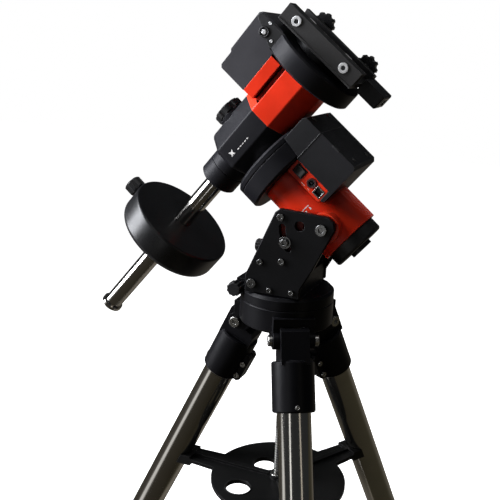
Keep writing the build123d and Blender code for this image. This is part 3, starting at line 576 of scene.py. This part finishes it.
def dress_dec_cover():
    """The cover's raised inset with its screws, socket and button, and the screws on its back."""
    mesh = bmesh.new()
    outline = [(-63.9, 99.6), (-62.0, 102.1), (-30.8, 102.1), (-30.8, 84.0), (-38.2, 84.0), (-63.9, 96.4)]
    plate(mesh, ALONG["-y"], outline, DEC_COVER_SIDE - 0.3, DEC_COVER_SIDE + 0.55, 0.2)
    add("dec_cover_inset", "declination_housing", "inset_dark", mesh, HEAD)
    mesh = bmesh.new()
    for x, z in ((-49.9, 100.2), (-38.6, 89.2)):
        screw_head(mesh, local((x, -DEC_COVER_SIDE - 0.5, z), "-y"), 1.5, 0.7)
    add("dec_cover_screws", "declination_housing", "screw_bright", mesh, HEAD)
    mesh = bmesh.new()
    socket = local((-49.2, -DEC_COVER_SIDE - 0.3, 90.6), "-y")
    loft(mesh, socket, [loop(5.2, -0.4), loop(5.2, 1.2), loop(4.8, 1.6), loop(3.9, 1.6), loop(3.7, 0.2)])
    add("dec_cover_socket", "declination_housing", "knob", mesh, HEAD)
    mesh = bmesh.new()
    loft(mesh, socket, [loop(2.5, 0.1), loop(2.5, 1.4), loop(1.9, 2.0)])
    add("dec_cover_button", "declination_housing", "screw_bright", mesh, HEAD)
    mesh = bmesh.new()
    for y in (-24.0, 24.0):
        screw_head(mesh, local((-64.6, y, 94), "-x"), 2.2, 0.8)
        screw_head(mesh, local((-62.6, y, 45), "-x"), 2.2, 0.8)
    add("dec_cover_back_screws", "declination_housing", "screw_dark", mesh, HEAD)


dress_dec_cover()


MARK_FACE = 31.5             # half width of the lower housing where the mark stands
STAR_PLACE = (1.2, -16.5)
STAR_TIP, STAR_WAIST = 4.0, 1.5


def dec_mark():
    """A plain four-pointed star and a broken rule."""
    mesh = bmesh.new()
    star = []
    for n in range(8):
        reach = STAR_TIP if n % 2 == 0 else STAR_WAIST
        angle = math.radians(45 * n + 45)
        star.append((STAR_PLACE[0] + reach * math.cos(angle), STAR_PLACE[1] + reach * math.sin(angle)))
    plate(mesh, ALONG["-y"], star, MARK_FACE - 0.1, MARK_FACE + 0.06, 0)
    for z in (-9.5, -6.0, -2.5, 1.0, 4.5):
        plate(mesh, ALONG["-y"], oblong((2.6, 3.5), (z, z + 2.4)), MARK_FACE - 0.1, MARK_FACE + 0.06, 0)
    add("dec_plain_mark", "declination_housing", "ink", mesh, HEAD)


dec_mark()


SADDLE_BOLTS = (-32.1, 28.3)  # the clamp bolts along the saddle
BOLT_HEIGHT = 118.0


def dress_saddle():
    """Jaw inserts, floor screws and the bezel of the saddle's port."""
    mesh = bmesh.new()
    for x in (-24.5, 22.0):
        plate(mesh, local((x, -18.4, 125.6), "z"), oblong((-4, 4), (-0.9, 0.6)), -0.3, 0.35, 0.15)
    add("saddle_jaw_inserts", "saddle", "screw_bright", mesh, HEAD)
    mesh = bmesh.new()
    for x in (-20.0, 0.0, 20.0):
        for y in (-12.0, 12.0):
            screw_head(mesh, local((x, y, 113.4), "z"), 3.0, 1.4)
    add("saddle_floor_screws", "saddle", "screw_dark", mesh, HEAD)
    mesh = bmesh.new()
    inner, outer = (3.9, 5.9), (4.8, 6.8)
    steps = ((inner, -0.1), (outer, -0.1), (outer, 0.4), (inner, 0.4))
    rings = [rectangle(half, height) for half, height in steps]
    loft(mesh, local((69.0, 16.0, 111.0), "x"), rings, closed=True)
    add("saddle_port_bezel", "saddle", "screw_plain", mesh, HEAD)


dress_saddle()


def saddle_socket_shade():
    """Dark hexagon plates in the sockets of the fixed jaw's screws: painted shade at the bottom of each
    socket.
    """
    mesh = bmesh.new()
    hexagons = [loop(2.75, 0, 6), loop(2.75, 0.55, 6), loop(2.4, 0.6, 6)]
    for x in SADDLE_BOLTS:
        loft(mesh, local((x, -32.6, BOLT_HEIGHT), "-y"), hexagons)
    add("saddle_screw_socket_shade", "saddle", "inset_dark", mesh, HEAD)


saddle_socket_shade()


def dress_knobs():
    """A moulded cap in the middle of each hand knob."""
    for name, body, place, direction, radius in (
            ("saddle_knob_cap_north", "saddle_knob_north", (SADDLE_BOLTS[0], 48.0, BOLT_HEIGHT), "y", 6.5),
            ("saddle_knob_cap_south", "saddle_knob_south", (SADDLE_BOLTS[1], 48.0, BOLT_HEIGHT), "y", 6.5),
            ("front_cap_disc", "front_polar_cap", (-41.1, 0, 0), "-x", 10.0),
            ("counterweight_knob_disc", "counterweight_knob", (-71.7, 0, -140.0), "-x", 5.5)):
        mesh = bmesh.new()
        loft(mesh, local(place, direction), [loop(radius, -0.6), loop(radius, 0.5), loop(radius - 0.6, 1.1),
                                             loop(radius - 2.0, 1.1), loop(radius - 2.4, 0.6)])
        add(name, body, "inset_dark", mesh, HEAD)


dress_knobs()


# --- studio ------------------------------------------------------------------------------
TARGET = Vector((0.0, 0.0, 0.72))
KEY_SIDE = (-0.93, -0.37, 0.42)


def softbox(name, direction, distance, size, power, colour=(1, 1, 1), lights=True, mirrored=True):
    """A lit panel: lights says if it brightens matt surfaces, mirrored if shiny ones reflect it."""
    data = bpy.data.lights.new(name, "AREA")
    data.shape = "RECTANGLE"
    data.size, data.size_y = size
    data.energy = power
    data.color = colour
    lamp = bpy.data.objects.new(name, data)
    away = Vector(direction).normalized()
    lamp.location = TARGET + away * distance
    lamp.rotation_euler = away.to_track_quat("Z", "Y").to_euler()
    lamp.visible_diffuse = lights
    lamp.visible_glossy = mirrored
    bpy.context.scene.collection.objects.link(lamp)


softbox("key", KEY_SIDE, 1.5, (0.7, 1.5), 66, (0.95, 0.96, 1.0), mirrored=False)
softbox("key_shine", KEY_SIDE, 1.45, (0.68, 1.45), 46, (0.93, 0.95, 1.0), lights=False)
softbox("far_side", (0.15, 1.0, 0.3), 1.8, (1.4, 1.4), 24, mirrored=False)
softbox("top", (0.25, -0.1, 1.0), 1.7, (1.4, 1.0), 3)
softbox("back", (-0.55, 0.85, 0.15), 2.0, (1.2, 1.2), 12, mirrored=False)
softbox("front_strip", (-0.16, -0.99, 0.0), 1.5, (0.2, 1.8), 1.8, lights=False)
softbox("side_strip", (0.85, -0.53, 0.0), 1.5, (0.2, 1.8), 0.8, (1.0, 0.92, 0.8), lights=False)


def daylight_mix(tree, seen, unseen, output_socket):
    """One shader for what the camera sees directly, another for every other ray."""
    path = tree.nodes.new("ShaderNodeLightPath")
    mix = tree.nodes.new("ShaderNodeMixShader")
    tree.links.new(path.outputs["Is Camera Ray"], mix.inputs[0])
    tree.links.new(unseen, mix.inputs[1])
    tree.links.new(seen, mix.inputs[2])
    tree.links.new(mix.outputs[0], output_socket)


ROOM_GLOW = 0.035            # what the surroundings add to the lamps


def make_world():
    """White behind the mount, a faint glow from everywhere else."""
    world = bpy.data.worlds.new("studio")
    bpy.context.scene.world = world
    world.use_nodes = True
    tree = world.node_tree
    tree.nodes.clear()
    output = tree.nodes.new("ShaderNodeOutputWorld")
    seen = tree.nodes.new("ShaderNodeBackground")
    seen.inputs[0].default_value = rgb(1, 1, 1)
    seen.inputs[1].default_value = 1.0
    unseen = tree.nodes.new("ShaderNodeBackground")
    unseen.inputs[0].default_value = rgb(0.9, 0.95, 1)
    unseen.inputs[1].default_value = ROOM_GLOW
    daylight_mix(tree, seen.outputs[0], unseen.outputs[0], output.inputs[0])


FLOOR_HALF = 6.0
FLOOR_FADE = (0.6, 2.2, 0.88, 1.0)   # glow from 0.88 at 0.6 m from the middle to 1.0 at 2.2 m
# what polished parts reflect from the floor: turn about +Z from -X, and the colour there
FLOOR_BANDS = ((0.0, (0.06, 0.055, 0.05)), (0.050, (0.10, 0.09, 0.08)), (0.064, (0.90, 0.90, 0.90)),
               (0.098, (0.90, 0.90, 0.90)), (0.112, (0.05, 0.045, 0.036)), (0.30, (0.03, 0.026, 0.018)),
               (0.60, (0.05, 0.045, 0.03)), (0.75, (0.22, 0.20, 0.17)), (0.90, (0.06, 0.055, 0.045)))


def floor_reflection(tree, place):
    """A dark warm studio floor with one lit strip, seen only in reflections."""
    turn = tree.nodes.new("ShaderNodeTexGradient")
    turn.gradient_type = "RADIAL"
    tree.links.new(place.outputs["Object"], turn.inputs[0])
    ramp = tree.nodes.new("ShaderNodeValToRGB")
    points = ramp.color_ramp.elements
    while len(points) > 1:
        points.remove(points[-1])
    for n, (stop, colour) in enumerate(FLOOR_BANDS):
        point = points[0] if n == 0 else points.new(stop)
        point.position = stop
        point.color = rgb(*colour)
    tree.links.new(turn.outputs["Fac"], ramp.inputs[0])
    glow = tree.nodes.new("ShaderNodeEmission")
    tree.links.new(ramp.outputs[0], glow.inputs[0])
    return glow.outputs[0]


def make_floor():
    """A pale floor that stays nearly white with a soft shadow, and throws little light back up."""
    mesh = bmesh.new()
    for corner in rectangle((FLOOR_HALF, FLOOR_HALF), -0.5 * MM):
        mesh.verts.new(corner)
    mesh.faces.new(mesh.verts)
    data = bpy.data.meshes.new("floor")
    mesh.to_mesh(data)
    mesh.free()
    floor = bpy.data.objects.new("floor", data)
    bpy.context.scene.collection.objects.link(floor)
    data.materials.append(floor_material())


def floor_material():
    """Pale to the camera, dull to matt light, dark with bright bands in reflections."""
    material = bpy.data.materials.new("floor")
    material.use_nodes = True
    tree = material.node_tree
    tree.nodes.clear()
    output = tree.nodes.new("ShaderNodeOutputMaterial")
    glow = tree.nodes.new("ShaderNodeEmission")
    place = tree.nodes.new("ShaderNodeTexCoord")
    reach = tree.nodes.new("ShaderNodeVectorMath")
    reach.operation = "LENGTH"
    fade = tree.nodes.new("ShaderNodeMapRange")
    for socket, value in zip(fade.inputs[1:5], FLOOR_FADE):
        socket.default_value = value
    tree.links.new(place.outputs["Object"], reach.inputs[0])
    tree.links.new(reach.outputs["Value"], fade.inputs[0])
    tree.links.new(fade.outputs[0], glow.inputs[1])
    pale = tree.nodes.new("ShaderNodeBsdfDiffuse")
    pale.inputs[0].default_value = rgb(0.8, 0.8, 0.8)
    both = tree.nodes.new("ShaderNodeAddShader")
    tree.links.new(glow.outputs[0], both.inputs[0])
    tree.links.new(pale.outputs[0], both.inputs[1])
    dull = tree.nodes.new("ShaderNodeBsdfDiffuse")
    dull.inputs[0].default_value = rgb(0.16, 0.13, 0.09)
    path = tree.nodes.new("ShaderNodeLightPath")
    unseen = tree.nodes.new("ShaderNodeMixShader")
    tree.links.new(path.outputs["Is Glossy Ray"], unseen.inputs[0])
    tree.links.new(dull.outputs[0], unseen.inputs[1])
    tree.links.new(floor_reflection(tree, place), unseen.inputs[2])
    daylight_mix(tree, both.outputs[0], unseen.outputs[0], output.inputs[0])
    return material


make_world()
make_floor()

# --- camera ------------------------------------------------------------------------------
CAMERA_PLACE = (0.25138, -0.68802, 0.95137)
CAMERA_YAW, CAMERA_PITCH, CAMERA_ROLL = 23.21, 15.55, 2.04
FOCAL, SENSOR = 53.43, 36.0


def make_camera():
    yaw, pitch, roll = (math.radians(a) for a in (CAMERA_YAW, CAMERA_PITCH, CAMERA_ROLL))
    back = Vector((math.sin(yaw) * math.cos(pitch), -math.cos(yaw) * math.cos(pitch), math.sin(pitch)))
    level = Vector((math.cos(yaw), math.sin(yaw), 0))
    rise = back.cross(level)
    right = level * math.cos(roll) + rise * math.sin(roll)
    up = rise * math.cos(roll) - level * math.sin(roll)
    data = bpy.data.cameras.new("camera")
    data.lens, data.sensor_width = FOCAL, SENSOR
    data.clip_start = 0.02
    camera = bpy.data.objects.new("camera", data)
    turned = Matrix((right, up, back)).transposed().to_4x4()
    camera.matrix_world = Matrix.Translation(Vector(CAMERA_PLACE)) @ turned
    bpy.context.scene.collection.objects.link(camera)
    bpy.context.scene.camera = camera


make_camera()
view = bpy.context.scene.view_settings
view.view_transform = "Standard"
view.look = "None"
view.exposure = 0.0
